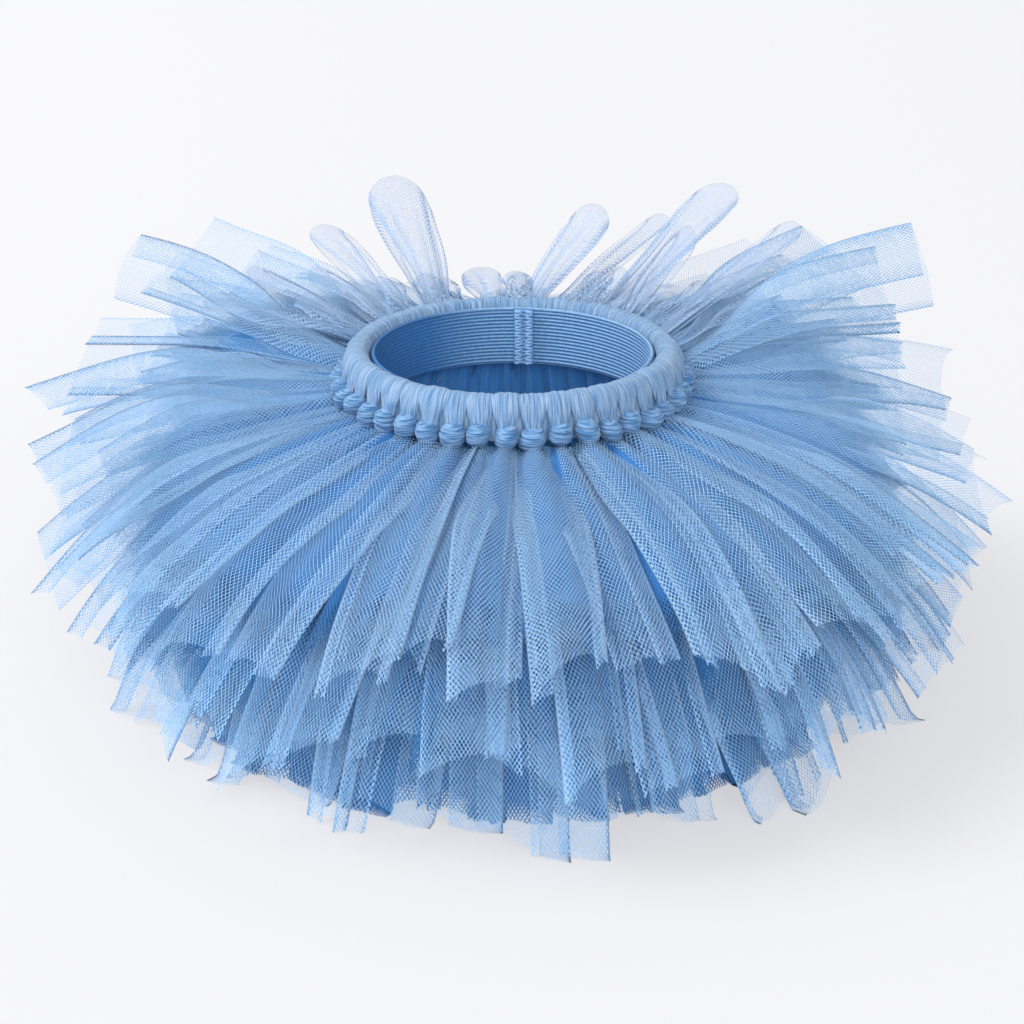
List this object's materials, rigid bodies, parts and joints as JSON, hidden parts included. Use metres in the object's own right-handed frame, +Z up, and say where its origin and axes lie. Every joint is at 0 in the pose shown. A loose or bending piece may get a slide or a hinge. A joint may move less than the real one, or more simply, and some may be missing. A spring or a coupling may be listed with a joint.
{
  "type": "tutu",
  "caption": "Baby tutu of tulle strips knotted over a ribbed elastic waist, fanning out in full rows from level down to the floor",
  "frame": {"origin": "on the floor, under the middle of the tutu's box", "axes": "+Z up through the waist, -Y towards the front, +X to the right in the front view"},
  "size_m": [0.4502, 0.452, 0.2042],
  "materials": {
    "tulle_strips": "soft open net, cut edges",
    "tulle_knotted": "net gathered and knotted, matt",
    "tulle_inner": "net in many layers, matt",
    "tulle_loops": "sheer net, folded double",
    "elastic": "fine ribs, matt"
  },
  "bodies": {
    "root": {"elastic_band": "elastic", "elastic_lap": "elastic", "hitch_01": "tulle_knotted", "hitch_02": "tulle_knotted", "hitch_03": "tulle_knotted", "hitch_04": "tulle_knotted", "hitch_05": "tulle_knotted", "hitch_06": "tulle_knotted", "hitch_07": "tulle_knotted", "hitch_08": "tulle_knotted", "hitch_09": "tulle_knotted", "hitch_10": "tulle_knotted", "hitch_11": "tulle_knotted", "hitch_12": "tulle_knotted", "hitch_13": "tulle_knotted", "hitch_14": "tulle_knotted", "hitch_15": "tulle_knotted", "hitch_16": "tulle_knotted", "hitch_17": "tulle_knotted", "hitch_18": "tulle_knotted", "hitch_19": "tulle_knotted", "hitch_20": "tulle_knotted", "hitch_21": "tulle_knotted", "hitch_22": "tulle_knotted", "hitch_23": "tulle_knotted", "hitch_24": "tulle_knotted", "hitch_25": "tulle_knotted", "hitch_26": "tulle_knotted", "hitch_27": "tulle_knotted", "hitch_28": "tulle_knotted", "hitch_29": "tulle_knotted", "hitch_30": "tulle_knotted", "hitch_31": "tulle_knotted", "hitch_32": "tulle_knotted", "hitch_33": "tulle_knotted", "hitch_34": "tulle_knotted", "hitch_35": "tulle_knotted", "hitch_36": "tulle_knotted", "hitch_37": "tulle_knotted", "hitch_38": "tulle_knotted", "hitch_39": "tulle_knotted", "hitch_40": "tulle_knotted", "hitch_41": "tulle_knotted", "hitch_42": "tulle_knotted", "strips_top": "tulle_strips", "strips_middle": "tulle_strips", "strips_lower": "tulle_strips", "strips_inner": "tulle_inner", "back_loop_01": "tulle_loops", "back_loop_02": "tulle_loops", "back_loop_03": "tulle_loops", "back_loop_04": "tulle_loops", "back_loop_05": "tulle_loops", "back_loop_06": "tulle_loops", "back_loop_07": "tulle_loops", "back_loop_08": "tulle_loops", "back_loop_09": "tulle_loops", "back_loop_10": "tulle_loops"}
  },
  "joints": []
}
